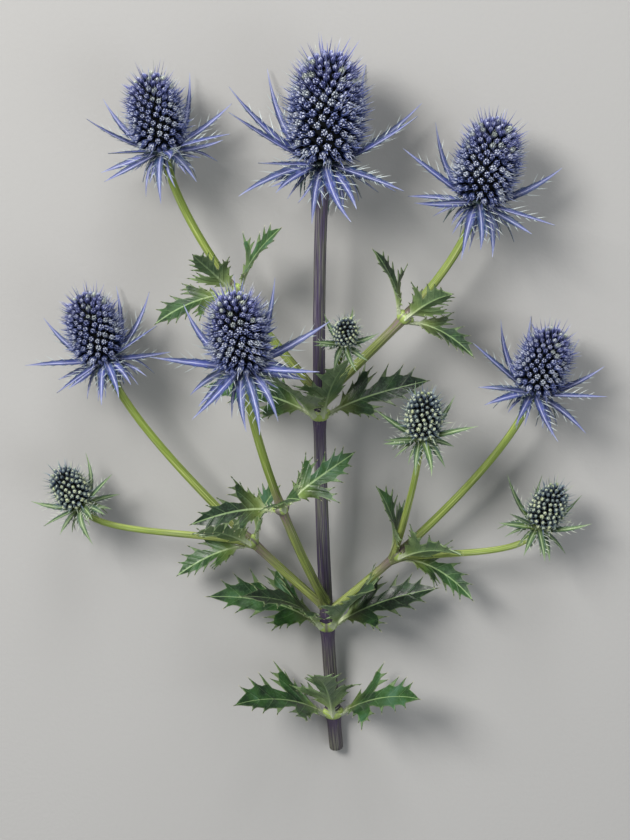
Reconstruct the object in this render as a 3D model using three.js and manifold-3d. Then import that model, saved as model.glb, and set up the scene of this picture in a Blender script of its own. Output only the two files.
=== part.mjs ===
// Sea holly stem: one cut, branching stem lying on a flat surface, its cut end towards -Y and its
// top head towards +Y. Millimetres, +Z up; the origin is on the surface, under the middle.
//
// The stem carries whorls of spiny leaves. Side branches rise out of the whorls. Every branch
// ends in a receptacle with a ruff of narrow toothed bracts, and on it an egg-shaped head whose
// florets stand in spirals. Each of these is a solid of its own, a hair clear of its neighbours.
import * as THREE from "three";
import { ConvexHull } from "three/addons/math/ConvexHull.js";
import { mergeVertices } from "three/addons/utils/BufferGeometryUtils.js";
import Module from "manifold-3d";

const wasm = await Module();
wasm.setup();
const { Manifold, Mesh } = wasm;

// ---------------------------------------------------------------- driving dimensions
const GAP = 0.3; // between pieces that touch
const STEM_RADIUS = 2.5; // main stem, at the cut end
const BRANCH_RADIUS = 1.75; // side branch, where it leaves the main stem
const GOLDEN_ANGLE = Math.PI * (3 - Math.sqrt(5));
const WIDEST_AT = 0.38; // share of a head's height where it is widest
const BARE_FOOT = 0.1; // share of a head's height, at its foot, without florets
const ORIGIN_SHIFT = [0, 19.93, 0]; // moves the finished stem's middle over the origin

// The cut end of the main stem, and the directions in which it sets out (degrees; lean is from
// +Y towards +X, rise is above the surface).
const BUTT = { at: [8, -150, 2.36], lean: -5, rise: 7, handle: 70 };

// Flower heads. at: foot of the head. radius and height: the head's core. bract: length of the
// longest bracts. florets: their number. from: what the stalk grows from, and how far along it.
// out: the direction and handle length with which the stalk sets out.
const HEADS = {
  top: {
    at: [3, 74, 23.73], lean: 3, rise: 4, radius: 10, height: 34, bract: 39, bracts: 20,
    florets: 150, handle: 60,
  },
  upper_right: {
    at: [56, 60, 20], lean: 14, rise: 3, radius: 8.2, height: 26, bract: 31, bracts: 16,
    florets: 130, handle: 28, from: "top", along: 0.6, out: { lean: 40, rise: 3, handle: 22 },
  },
  upper_left: {
    at: [-52, 78, 19.3], lean: -11, rise: 3, radius: 7.4, height: 23, bract: 29, bracts: 16,
    florets: 120, handle: 30, from: "top", along: 0.61, out: { lean: -38, rise: 3, handle: 22 },
  },
  lower_left: {
    at: [-74, 4, 18.41], lean: -17, rise: 4, radius: 7.2, height: 21.5, bract: 28, bracts: 16,
    florets: 116, handle: 26, from: "top", along: 0.26, out: { lean: -48, rise: 5, handle: 24 },
  },
  lower_right: {
    at: [77, -8, 17.5], lean: 18, rise: 4, radius: 7, height: 21, bract: 28, bracts: 16,
    florets: 116, handle: 26, from: "top", along: 0.25, out: { lean: 50, rise: 5, handle: 24 },
  },
  front: {
    at: [-24, 12, 62], lean: -6, rise: 18, radius: 7.8, height: 24, bract: 30, bracts: 16,
    florets: 126, handle: 36, from: "top", along: 0.27, out: { lean: -20, rise: 44, handle: 34 },
  },
  young_left: {
    at: [-84, -50, 17], lean: -30, rise: 6, radius: 4.8, height: 13.5, bract: 18, bracts: 12,
    florets: 78, handle: 12, from: "lower_left", along: 0.32, out: { lean: -62, rise: 6, handle: 14 },
  },
  young_right: {
    at: [37, -20, 34], lean: 4, rise: 14, radius: 5, height: 14.5, bract: 19, bracts: 12,
    florets: 80, handle: 14, from: "lower_right", along: 0.32, out: { lean: 14, rise: 22, handle: 12 },
  },
  young_outer: {
    at: [80, -58, 17], lean: 26, rise: 6, radius: 4.8, height: 15, bract: 20, bracts: 12,
    florets: 84, handle: 12, from: "lower_right", along: 0.31, out: { lean: 66, rise: 6, handle: 12 },
  },
  bud: {
    at: [10, 14, 37], lean: 8, rise: 32, radius: 3.2, height: 8.5, bract: 12, bracts: 10,
    florets: 54, handle: 7, from: "top", along: 0.59, out: { lean: 12, rise: 46, handle: 7 },
  },
};

// Whorls of leaves. on: the stalk, and how far along it. turns: each leaf's place round the
// stalk, in degrees from straight up towards the right. leaf: length of the longest leaf.
const WHORLS = {
  upper: { on: "top", along: 0.58, leaf: 41, turns: [-90, -36, 22, 86] },
  lower: { on: "top", along: 0.23, leaf: 45, turns: [-84, -44, 36, 84] },
  base: { on: "top", along: 0.07, leaf: 43, turns: [-64, -4, 58] },
  upper_right: { on: "upper_right", along: 0.5, leaf: 30, turns: [-66, 6, 84] },
  upper_left: { on: "upper_left", along: 0.5, leaf: 30, turns: [-86, -12, 64] },
  lower_left: { on: "lower_left", along: 0.34, leaf: 32, turns: [-88, -16, 66] },
  lower_right: { on: "lower_right", along: 0.34, leaf: 32, turns: [-66, 16, 88] },
  front: { on: "front", along: 0.5, leaf: 30, turns: [-84, 20, 108] },
};

// A leaf's margin, from its foot to its tip: [distance from the midrib, distance along it], both
// as shares of the leaf's length. One side lobe, and forward-pointing teeth.
const LEAF_MARGIN = [
  [0.035, 0.18], [0.17, 0.27], [0.17, 0.36], [0.33, 0.5], [0.2, 0.47], [0.18, 0.57],
  [0.09, 0.5], [0.2, 0.69], [0.09, 0.67], [0.12, 0.85], [0.045, 0.84],
];
const LEAF_RIB = [0.2, 0.38, 0.6, 0.78];
const LEAF_THICKNESS = 0.7;
// The ring that a whorl's leaves grow from: its half height, its wall, and the angle that half a
// leaf's foot takes up on it.
const COLLAR = { half: 1.5, wall: 1.1, foot: 15, spacing: 45 };
// The margins of the bracts of the two ranks in the same way, their widths as shares of the
// bract's half-width.
const BRACT_MARGIN = {
  inner: [[0.95, 0.22], [2.2, 0.42], [0.85, 0.44], [1.7, 0.66], [0.5, 0.66]],
  outer: [[0.95, 0.3], [2, 0.56], [0.7, 0.56]],
};
const BRACT_RIB = { inner: [0.2, 0.5], outer: [0.28, 0.58] };
const BRACT_THICKNESS = 0.9;
// The receptacle's rings, as [share of its radius, height under the head's foot]. The inner rank
// of bracts grows out between the second and third ring, the outer rank below it.
const RECEPTACLE = [[0.9, 0.3], [1, 0.6], [1, 1.6], [0.95, 2.6], [0.6, 3.3]];
const INNER_BAND = 1;
const OUTER_BAND = 2;
// The surface bends the bracts under a head forwards or backwards by this many degrees.
const PRESSED = 52;
// The bracts over a head hang lower than those at its sides, by this many degrees in each rank.
const DROOP = { inner: 38, outer: 30 };
// The bracts at a head's sides turn their upper faces away from the surface by this many degrees.
const FACING = 54;
// The steepest angle at which a bract can set out past the foot of its head; a steeper one bends up.
const CLEAR_OF_HEAD = 26;

const COLOURS = {
  main_stem: 0x6b6470,
  branch: 0x93a05a,
  leaf: 0x3c6440,
  ruff: 0x6674b8,
  head: 0x55609a,
};

// ---------------------------------------------------------------- small helpers
const rad = THREE.MathUtils.degToRad;
const { lerp } = THREE.MathUtils;

// A repeatable number between 0 and 1.
function draw(seed) {
  const x = Math.sin(seed * 12.9898) * 43758.5453;
  return x - Math.floor(x);
}

function direction({ lean, rise }) {
  const flat = Math.cos(rad(rise));
  return new THREE.Vector3(Math.sin(rad(lean)) * flat, Math.cos(rad(lean)) * flat, Math.sin(rad(rise)));
}

// The local frame of something that points along axis: x up from the surface, y to the right,
// z along the axis.
function frameAt(point, axis) {
  const up = new THREE.Vector3(0, 0, 1).addScaledVector(axis, -axis.z).normalize();
  const side = new THREE.Vector3().crossVectors(axis, up);
  return new THREE.Matrix4().makeBasis(up, side, axis).setPosition(point);
}

// The points and triangles of one closed solid.
class Shell {
  points = [];
  triangles = [];

  point(p) {
    this.points.push(p);
    return this.points.length - 1;
  }

  // A ring of points round the z axis at the given angles.
  ring(radius, height, angles) {
    return angles.map((a) => this.point(
      new THREE.Vector3(radius * Math.cos(rad(a)), radius * Math.sin(rad(a)), height)));
  }

  quad(a, b, c, d) {
    this.triangles.push([a, b, c], [a, c, d]);
  }

  fan(loop) {
    for (let i = 1; i < loop.length - 1; i++) this.triangles.push([loop[0], loop[i], loop[i + 1]]);
  }

  // The wall between two rings, seen from outside, without the cells that skip names.
  wall(upper, lower, skip = () => false) {
    upper.forEach((_, k) => {
      const next = (k + 1) % upper.length;
      if (!skip(k)) this.quad(lower[k], lower[next], upper[next], upper[k]);
    });
  }

  solid() {
    const geometry = new THREE.BufferGeometry().setFromPoints(this.points);
    geometry.setIndex(this.triangles.flat());
    return solidOf(geometry);
  }
}

function solidOf(geometry) {
  const bare = geometry.clone();
  bare.deleteAttribute("normal");
  bare.deleteAttribute("uv");
  const merged = mergeVertices(bare, 1e-4);
  return new Manifold(new Mesh({
    numProp: 3,
    vertProperties: new Float32Array(merged.attributes.position.array),
    triVerts: new Uint32Array(merged.index.array),
  }));
}

function geometryOf(manifold) {
  const mesh = manifold.getMesh();
  const geometry = new THREE.BufferGeometry();
  geometry.setAttribute("position", new THREE.BufferAttribute(mesh.vertProperties, 3));
  geometry.setIndex(new THREE.BufferAttribute(mesh.triVerts, 1));
  const shaded = geometry.toNonIndexed();
  shaded.computeVertexNormals();
  return shaded;
}

// The largest body of a solid: a cut can leave loose scraps.
function largest(manifold) {
  return manifold.decompose().sort((a, b) => b.volume() - a.volume())[0];
}

// ---------------------------------------------------------------- stalks
const stalks = {};
for (const [name, head] of Object.entries(HEADS)) {
  const axis = direction(head);
  const end = new THREE.Vector3(...head.at).addScaledVector(axis, -RECEPTACLE.at(-1)[1] - GAP);
  const parent = stalks[head.from];
  const start = parent ? parent.curve.getPoint(head.along) : new THREE.Vector3(...BUTT.at);
  const out = head.out ?? BUTT;
  stalks[name] = {
    parent: head.from,
    thick: parent ? BRANCH_RADIUS * Math.min(1, 0.4 + head.radius / 14) : STEM_RADIUS,
    curve: new THREE.CubicBezierCurve3(
      start,
      start.clone().addScaledVector(direction(out), out.handle),
      end.clone().addScaledVector(axis, -head.handle),
      end,
    ),
  };
}

// A stalk thins slowly, and flares into the receptacle.
function stalkRadius(stalk, t) {
  return stalk.thick * (1 - 0.22 * t + 0.3 * t ** 24);
}

// A round closed tube along a stalk, fattened by extra.
function stalkSolid(stalk, extra, sides, steps) {
  const shell = new Shell();
  const angles = Array.from({ length: sides }, (_, k) => (360 * (k + 0.5)) / sides);
  const rings = [];
  for (let i = 0; i <= steps; i++) {
    const t = i / steps;
    const frame = frameAt(stalk.curve.getPoint(t), stalk.curve.getTangent(t));
    rings.push(shell.ring(stalkRadius(stalk, t) + extra, 0, angles));
    for (const corner of rings[i]) shell.points[corner].applyMatrix4(frame);
    if (i > 0) shell.wall(rings[i], rings[i - 1]);
  }
  shell.fan(rings[0].toReversed());
  shell.fan(rings[steps]);
  return shell.solid();
}

// ---------------------------------------------------------------- blades
// The line of a bract or leaf that grows out of an axis. It leaves at angle rise (above the plane
// across the axis) and bends to angle lift. place(s, a, n) gives the point a share s of the way
// along it, a to one side and n above its face.
function bladeLine({ from, length, rise, lift, turn, sway = 0, roll = 0, fold = 0 }) {
  const [r0, u0] = from;
  const bow = new THREE.QuadraticBezierCurve(
    new THREE.Vector2(r0, u0),
    new THREE.Vector2(r0 + 0.45 * length * Math.cos(rad(rise)), u0 + 0.45 * length * Math.sin(rad(rise))),
    new THREE.Vector2(r0 + length * Math.cos(rad(lift)), u0 + length * Math.sin(rad(lift))),
  );
  return (s, a, n) => {
    const angle = rad(turn + sway * s * s);
    const radial = new THREE.Vector3(Math.cos(angle), Math.sin(angle), 0);
    const side = new THREE.Vector3(-Math.sin(angle), Math.cos(angle), 0);
    const [at, along] = [bow.getPoint(s), bow.getTangent(s)];
    const face = radial.clone().multiplyScalar(-along.y).setZ(along.x);
    const twist = rad(roll) * (0.3 + 0.7 * s);
    const [c, k] = [Math.cos(twist), Math.sin(twist)];
    const across = side.clone().multiplyScalar(c).addScaledVector(face, k);
    const above = face.clone().multiplyScalar(c).addScaledVector(side, -k);
    return radial.multiplyScalar(at.x).setZ(at.y)
      .addScaledVector(across, a)
      .addScaledVector(above, n + fold * Math.abs(a));
  };
}

// Joins two chains of vertices that run the same way and end in the same one.
function stitch(left, right, shareOf) {
  const triangles = [];
  let [i, j] = [0, 0];
  while (i < left.length - 1 || j < right.length - 1) {
    const takeLeft = j === right.length - 1
      || (i < left.length - 1 && shareOf(left[i + 1]) <= shareOf(right[j + 1]));
    triangles.push(takeLeft ? [left[i], right[j], left[i + 1]] : [left[i], right[j], right[j + 1]]);
    if (takeLeft) i++;
    else j++;
  }
  return triangles.filter(([a, b, c]) => a !== b && b !== c && a !== c);
}

// A bract: a channelled blade with a thick rib underneath, sharp toothed margins and a sharp
// tip. It grows out of a cell of the receptacle, given by its corners.
function addBract(shell, place, line, [upperLeft, upperRight, lowerRight, lowerLeft]) {
  const shares = new Map();
  const vertex = (s, a, n) => {
    const v = shell.point(place(s, a, n));
    shares.set(v, s);
    return v;
  };
  const tip = vertex(1, 0, 0);
  const rib = BRACT_RIB[line.rank];
  const margin = (side) =>
    [...BRACT_MARGIN[line.rank].map(([w, s]) => vertex(s, side * w * line.halfWidth, 0)), tip];
  const above = [...rib.map((s) => vertex(s, 0, 0)), tip];
  const below = [...rib.map((s) => vertex(s, 0, -BRACT_THICKNESS * (1 - 0.4 * s))), tip];
  const [left, right] = [margin(-1), margin(1)];
  const shareOf = (v) => shares.get(v);
  shell.triangles.push(
    [upperLeft, left[0], above[0]],
    [upperLeft, above[0], upperRight],
    [upperRight, above[0], right[0]],
    [upperRight, right[0], lowerRight],
    [lowerRight, right[0], below[0]],
    [lowerRight, below[0], lowerLeft],
    [lowerLeft, below[0], left[0]],
    [lowerLeft, left[0], upperLeft],
    ...stitch(above, left, shareOf),
    ...stitch(right, above, shareOf),
    ...stitch(below, right, shareOf),
    ...stitch(left, below, shareOf),
  );
}

// A leaf: a lobed, toothed blade of even thickness, creased along its midrib. It grows out of
// two cells of a collar: foot gives their upper and their lower corners, from left to right.
function addLeaf(shell, place, length, foot) {
  const shares = new Map();
  const shareOf = (v) => shares.get(v);
  const [top, under] = [1, -1].map((face, i) => {
    const vertex = (w, s) => {
      const v = shell.point(place(s, w * length, (face * LEAF_THICKNESS) / 2));
      shares.set(v, s);
      return v;
    };
    for (const corner of foot[i]) shares.set(corner, 0);
    const tip = vertex(0, 1);
    const chain = (start, corners) => [start, ...corners.map(([w, s]) => vertex(w, s)), tip];
    return {
      left: chain(foot[i][0], LEAF_MARGIN.map(([w, s]) => [-w, s])),
      rib: chain(foot[i][1], LEAF_RIB.map((s) => [0, s])),
      right: chain(foot[i][2], LEAF_MARGIN),
    };
  });
  shell.triangles.push(
    ...stitch(top.rib, top.left, shareOf),
    ...stitch(top.right, top.rib, shareOf),
    ...stitch(under.left, under.rib, shareOf),
    ...stitch(under.rib, under.right, shareOf),
  );
  for (let i = 0; i <= LEAF_MARGIN.length; i++) {
    shell.quad(top.left[i + 1], top.left[i], under.left[i], under.left[i + 1]);
    shell.quad(top.right[i], top.right[i + 1], under.right[i + 1], under.right[i]);
  }
}

// ---------------------------------------------------------------- heads
// The core's radius at share v of its height: blunt at the foot, rounded at the top.
function coreRadius(head, v) {
  const t = v > WIDEST_AT ? (v - WIDEST_AT) / (1 - WIDEST_AT) : (WIDEST_AT - v) / WIDEST_AT;
  return head.radius * Math.sqrt(Math.max(0, 1 - t ** (v > WIDEST_AT ? 2.1 : 3)));
}

// Points spaced evenly over the core in the spirals of a seed head, each with the direction in
// which its floret stands.
function floretSites(head) {
  const STEPS = 400;
  const area = [0];
  for (let i = 0; i < STEPS; i++) {
    const [a, b] = [coreRadius(head, i / STEPS), coreRadius(head, (i + 1) / STEPS)];
    area.push(area[i] + ((a + b) / 2) * Math.hypot(b - a, head.height / STEPS));
  }
  const sites = [];
  let i = 0;
  for (let n = 0; n < head.florets; n++) {
    const wanted = ((n + 0.5) / head.florets) * area[STEPS];
    while (area[i + 1] < wanted) i++;
    const v = (i + (wanted - area[i]) / (area[i + 1] - area[i])) / STEPS;
    const slope = (coreRadius(head, v + 0.004) - coreRadius(head, v - 0.004)) / (0.008 * head.height);
    const angle = n * GOLDEN_ANGLE;
    const out = new THREE.Vector3(Math.cos(angle), Math.sin(angle), -slope + 0.3).normalize();
    const radius = coreRadius(head, v);
    sites.push({
      v,
      at: new THREE.Vector3(radius * Math.cos(angle), radius * Math.sin(angle), v * head.height),
      out,
    });
  }
  return sites;
}

// A head: every floret is a many-sided spike whose foot fills its own cell of the core.
function headSolid(head) {
  const sites = floretSites(head);
  const reach = spikeLength(head);
  const shell = new Shell();
  sites.forEach(({ v, at, out }, n) => shell.point(
    at.clone().addScaledVector(out, v < BARE_FOOT ? 0 : reach * lerp(0.85, 1.1, draw(n)))));
  const hull = new ConvexHull().setFromPoints(sites.map((site) => site.at));
  const siteOf = new Map(sites.map((site, n) => [site.at, n]));
  const valleyOf = new Map();
  for (const face of hull.faces) {
    const corners = [0, 1, 2].map((k) => face.getEdge(k).head().point);
    const middle = corners.reduce((sum, c) => sum.add(c), new THREE.Vector3()).divideScalar(3);
    valleyOf.set(face, shell.point(middle));
  }
  for (const face of hull.faces)
    for (const k of [0, 1, 2]) {
      const edge = face.getEdge(k);
      shell.triangles.push(
        [siteOf.get(edge.tail().point), valleyOf.get(edge.twin.face), valleyOf.get(face)]);
    }
  return shell.solid();
}

function spikeLength(head) {
  return 0.6 + 0.25 * head.radius;
}

// ---------------------------------------------------------------- ruffs
function receptacleRadius(head) {
  return 0.34 * head.radius + 0.9;
}

// A bract's line. The inner rank sweeps up beside the head, the outer one spreads or hangs.
function bractLine(head, k, seed) {
  const chance = (j) => draw(seed * 31 + k * 7 + j);
  const inner = k % 2 === 0;
  const rank = inner ? "inner" : "outer";
  const turn = (360 * (k + 0.5 + lerp(-0.15, 0.15, chance(1)))) / head.bracts;
  const under = Math.max(0, -Math.cos(rad(turn)));
  const over = Math.max(0, Math.cos(rad(turn)));
  const band = RECEPTACLE[inner ? INNER_BAND : OUTER_BAND];
  const free = inner ? lerp(14, 42, chance(3)) : lerp(-28, 6, chance(3));
  const lift = free - DROOP[rank] * over ** 2;
  return {
    rank,
    halfWidth: 0.032 * head.bract + 0.6,
    from: [band[0] * receptacleRadius(head), -band[1]],
    length: head.bract * (inner ? lerp(0.86, 1, chance(2)) : lerp(0.5, 0.74, chance(2))),
    rise: inner ? Math.min(lift, CLEAR_OF_HEAD) * (1 - under) : lerp(-14, -4, chance(4)),
    lift: lerp(lift, inner ? PRESSED : -PRESSED, under),
    turn,
    sway: lerp(-7, 7, chance(5)),
    roll: lerp(-18, 18, chance(6)) + FACING * Math.sin(rad(turn)),
    fold: 0.3,
  };
}

// The receptacle with its bracts, as one skin: each bract takes the place of a cell of a wall.
function ruffSolid(head, seed) {
  const shell = new Shell();
  const angles = Array.from({ length: head.bracts }, (_, k) => (360 * k) / head.bracts);
  const rings = RECEPTACLE.map(([r, depth]) => shell.ring(r * receptacleRadius(head), -depth, angles));
  const bandOf = (k) => (k % 2 === 0 ? INNER_BAND : OUTER_BAND);
  for (let band = 0; band < rings.length - 1; band++)
    shell.wall(rings[band], rings[band + 1], (k) => bandOf(k) === band);
  shell.fan(rings[0]);
  shell.fan(rings.at(-1).toReversed());
  for (let k = 0; k < head.bracts; k++) {
    const [upper, lower] = [rings[bandOf(k)], rings[bandOf(k) + 1]];
    const next = (k + 1) % head.bracts;
    const line = bractLine(head, k, seed);
    addBract(shell, bladeLine(line), line, [upper[k], upper[next], lower[next], lower[k]]);
  }
  return shell.solid();
}

// ---------------------------------------------------------------- whorls
function leafLine(whorl, turn, k, seed) {
  const chance = (j) => draw(seed * 17 + k * 5 + j);
  const lift = lerp(58, 14, Math.abs(turn) / 90) + lerp(-6, 6, chance(3));
  return {
    from: [collarRadius(whorl), 0],
    length: whorl.leaf * lerp(0.82, 1, chance(1)),
    rise: lift + lerp(14, 26, chance(2)),
    lift,
    turn,
    sway: lerp(-10, 10, chance(4)),
    roll: lerp(0.5, 0.75, chance(5)) * turn,
    fold: 0.25,
  };
}

// The outside of the ring that a whorl's leaves grow from.
function collarRadius(whorl) {
  return stalkRadius(stalks[whorl.on], whorl.along) + GAP + COLLAR.wall;
}

// A ring round the stalk and its leaves, as one skin: each leaf takes the place of two cells.
function whorlSolid(whorl, seed, obstacles) {
  const stalk = stalks[whorl.on];
  const shell = new Shell();
  const feet = whorl.turns.flatMap((turn) => [turn - COLLAR.foot, turn, turn + COLLAR.foot]);
  const angles = [];
  feet.forEach((angle, i) => {
    const gap = (feet[i + 1] ?? feet[0] + 360) - angle;
    const parts = Math.ceil(gap / COLLAR.spacing);
    for (let j = 0; j < parts; j++) angles.push(angle + (gap * j) / parts);
  });
  const startOf = new Map(whorl.turns.map((turn) => [turn, angles.indexOf(turn - COLLAR.foot)]));
  const taken = new Set([...startOf.values()].flatMap((k) => [k, k + 1]));
  const outer = collarRadius(whorl);
  const inner = (outer - COLLAR.wall) / Math.cos(rad(COLLAR.spacing / 2));
  const [outerTop, outerFoot, innerTop, innerFoot] = [outer, outer, inner, inner].map((r, i) =>
    shell.ring(r, i % 2 === 0 ? COLLAR.half : -COLLAR.half, angles));
  shell.wall(outerTop, outerFoot, (k) => taken.has(k));
  shell.wall(innerTop, outerTop);
  shell.wall(innerFoot, innerTop);
  shell.wall(outerFoot, innerFoot);
  whorl.turns.forEach((turn, k) => {
    const line = leafLine(whorl, turn, k, seed);
    const start = startOf.get(turn);
    const foot = [outerTop, outerFoot].map((ring) => ring.slice(start, start + 3));
    addLeaf(shell, bladeLine(line), line.length, foot);
  });
  const frame = frameAt(stalk.curve.getPoint(whorl.along), stalk.curve.getTangent(whorl.along));
  const whole = shell.solid().transform(frame.elements);
  return largest(obstacles.reduce((left, obstacle) => left.subtract(obstacle), whole));
}

// ---------------------------------------------------------------- assembly
const plant = new THREE.Group();
plant.position.set(...ORIGIN_SHIFT);

function add(name, manifold, colour, frame) {
  const material = new THREE.MeshStandardMaterial({ color: colour, roughness: 0.7, metalness: 0 });
  const mesh = new THREE.Mesh(geometryOf(manifold), material);
  mesh.name = name;
  if (frame) mesh.applyMatrix4(frame);
  plant.add(mesh);
}

const fat = {};
for (const [name, stalk] of Object.entries(stalks)) {
  const [sides, steps] = stalk.parent ? [8, 8] : [10, 14];
  const own = stalkSolid(stalk, 0, sides, steps);
  fat[name] = stalkSolid(stalk, GAP + 0.05, sides, steps);
  if (stalk.parent) add(`branch_${name}`, largest(own.subtract(fat[stalk.parent])), COLOURS.branch);
  else add("main_stem", own, COLOURS.main_stem);
}

Object.entries(HEADS).forEach(([name, head], i) => {
  const frame = frameAt(new THREE.Vector3(...head.at), direction(head));
  add(`head_${name}`, headSolid(head), COLOURS.head, frame);
  add(`ruff_${name}`, ruffSolid(head, i + 1), COLOURS.ruff, frame);
});

Object.entries(WHORLS).forEach(([name, whorl], i) => {
  const near = Object.keys(stalks).filter((s) => stalks[s].parent === whorl.on);
  add(`whorl_${name}`, whorlSolid(whorl, i + 1, near.map((s) => fat[s])), COLOURS.leaf);
});

export default plant;
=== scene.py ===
"""The looks of a cut sea holly stem that lies on a surface.

The frame holds the stem's stalks, flower heads, ruffs of bracts and whorls of leaves as plain
solids. Each is replaced here by a finer piece that follows the same lines: ribbed stalks, florets
with sepals, petals, stamens and a spine, channelled bracts with spiny margins, and lobed leaves.
The driving dimensions are those of the solids, in millimetres, before the plant is moved over the
origin. Piece.build() turns them into the frame's metres.
"""

import math

import bpy
import numpy as np
from mathutils import Matrix, Vector
from mathutils.geometry import delaunay_2d_cdt


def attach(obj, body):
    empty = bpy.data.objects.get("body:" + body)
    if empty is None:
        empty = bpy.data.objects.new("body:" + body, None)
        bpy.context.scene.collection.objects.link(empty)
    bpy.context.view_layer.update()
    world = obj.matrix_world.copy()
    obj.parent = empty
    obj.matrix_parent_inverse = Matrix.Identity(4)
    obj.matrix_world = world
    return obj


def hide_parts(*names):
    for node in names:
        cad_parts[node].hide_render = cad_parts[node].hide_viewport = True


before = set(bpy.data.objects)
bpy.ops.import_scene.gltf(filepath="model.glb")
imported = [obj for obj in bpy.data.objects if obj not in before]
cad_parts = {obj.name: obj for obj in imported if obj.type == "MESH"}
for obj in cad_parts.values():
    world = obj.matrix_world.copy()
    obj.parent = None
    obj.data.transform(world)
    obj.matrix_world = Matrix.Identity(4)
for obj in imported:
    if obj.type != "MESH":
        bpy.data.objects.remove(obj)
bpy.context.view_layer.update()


def table(names, rows):
    """Each row as a dict with these names. A row may leave out the last ones."""
    return {key: dict(zip(names.split(), row)) for key, row in rows.items()}


# ---- dimensions of the solids
MM = 0.001
ORIGIN_SHIFT = (0, 19.93, 0)
STEM_RADIUS = 2.5
BRANCH_RADIUS = 1.75
GAP = 0.3
GOLDEN_ANGLE = math.pi * (3 - math.sqrt(5))
WIDEST_AT = 0.38  # share of a head's height where it is widest
BUTT = dict(at=(8, -150, 2.36), out=(-5, 7, 70))

# at: foot of the head. lean and rise: its direction, in degrees. radius, height: its core. bract:
# its longest bract. start: the stalk it grows from and how far along. out: the lean, rise and
# handle length with which its stalk sets out; handle is the length at its other end.
HEADS = table("at lean rise radius height bract bracts florets handle start out", {
    "top": ((3, 74, 23.73), 3, 4, 10, 34, 39, 20, 150, 60),
    "upper_right": ((56, 60, 20), 14, 3, 8.2, 26, 31, 16, 130, 28, ("top", 0.6), (40, 3, 22)),
    "upper_left": ((-52, 78, 19.3), -11, 3, 7.4, 23, 29, 16, 120, 30, ("top", 0.61), (-38, 3, 22)),
    "lower_left": ((-74, 4, 18.41), -17, 4, 7.2, 21.5, 28, 16, 116, 26, ("top", 0.26), (-48, 5, 24)),
    "lower_right": ((77, -8, 17.5), 18, 4, 7, 21, 28, 16, 116, 26, ("top", 0.25), (50, 5, 24)),
    "front": ((-24, 12, 62), -6, 18, 7.8, 24, 30, 16, 126, 36, ("top", 0.27), (-20, 44, 34)),
    "young_left": ((-84, -50, 17), -30, 6, 4.8, 13.5, 18, 12, 78, 12, ("lower_left", 0.32), (-62, 6, 14)),
    "young_right": ((37, -20, 34), 4, 14, 5, 14.5, 19, 12, 80, 14, ("lower_right", 0.32), (14, 22, 12)),
    "young_outer": ((80, -58, 17), 26, 6, 4.8, 15, 20, 12, 84, 12, ("lower_right", 0.31), (66, 6, 12)),
    "bud": ((10, 14, 37), 8, 32, 3.2, 8.5, 12, 10, 54, 7, ("top", 0.59), (12, 46, 7)),
})
YOUNG = ("young_left", "young_right", "young_outer", "bud")

# on: the stalk and how far along it. leaf: the longest leaf. turns: each leaf's place round it.
WHORLS = table("on along leaf turns", {
    "upper": ("top", 0.58, 41, (-90, -36, 22, 86)),
    "lower": ("top", 0.23, 45, (-84, -44, 36, 84)),
    "base": ("top", 0.07, 43, (-64, -4, 58)),
    "upper_right": ("upper_right", 0.5, 30, (-66, 6, 84)),
    "upper_left": ("upper_left", 0.5, 30, (-86, -12, 64)),
    "lower_left": ("lower_left", 0.34, 32, (-88, -16, 66)),
    "lower_right": ("lower_right", 0.34, 32, (-66, 16, 88)),
    "front": ("front", 0.5, 30, (-84, 20, 108)),
})
COLLAR_WALL = 1.1
COLLAR_HALF = 1.5
RECEPTACLE = ((0.9, 0.3), (1, 0.6), (1, 1.6), (0.95, 2.6), (0.6, 3.3))
BAND = {"inner": (1, 0.6), "outer": (1, 1.6), "lowest": (0.95, 2.5)}
PRESSED = 52  # how far the surface bends the bracts under a head, in degrees
DROOP = {"inner": 38, "outer": 30, "lowest": 14}  # how much lower the bracts over a head hang
FACING = 54  # how far the bracts at a head's sides turn their faces up
CLEAR_OF_HEAD = 26  # the steepest angle at which a bract can set out past its head's foot

# ---- finer forms
LOWEST = 0.02  # how far above the surface the lowest points lie
SHARP_ANGLE = 55  # the least angle, in degrees, at which an edge is shaded as a sharp one

STALK_SIDES = 48
STALK_STEP = 1.6  # millimetres from ring to ring
STALK_RIBS = 12
RIB_HEIGHT, OVAL = 0.045, 0.02  # shares of a stalk's radius
NODE_SWELLING = (0.2, 3.5)  # a share of the radius, and how far along the stalk it fades out
FOOT_SWELLING = (0.3, 4.5)
FAR_FROM_NODE = 60
# The sliced end, from its middle to the rim: shares of the stem's outline, millimetres along it.
CUT_FACE = ((0.3, -0.03), (0.6, -0.06), (0.72, -0.08), (0.86, -0.1), (0.97, -0.05))

FLORET_SHARE = 1.9  # florets here for each of the solid's
FLORET_HEIGHT = 3.1  # of the patterns that floret() makes, above the solid's core
OPEN_KINDS, CLOSED_KINDS = 5, 3
BARE_FOOT = 0.06  # share of a head's height without florets
CROWN = (0.62, 0.92)  # shares of a head's height over which its florets crowd and narrow
CROWN_CROWD = 1.2  # florets that an area of the crown has on top of each one of the body's
CROWN_SLIMMER, CROWN_TALLER = 0.24, 0.2  # shares by which a crown's florets are
STILL_CLOSED = 0.9  # share of a head's height above which its florets haven't opened
CROWDING = 1.4  # how near florets push each other, in shares of their even spacing
PUSHES = 40
CORE_SIDES, CORE_RINGS = 40, 26
CORE_SUNK = 0.45  # how far the core lies under the solid's, as a share of the florets' reach

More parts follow.
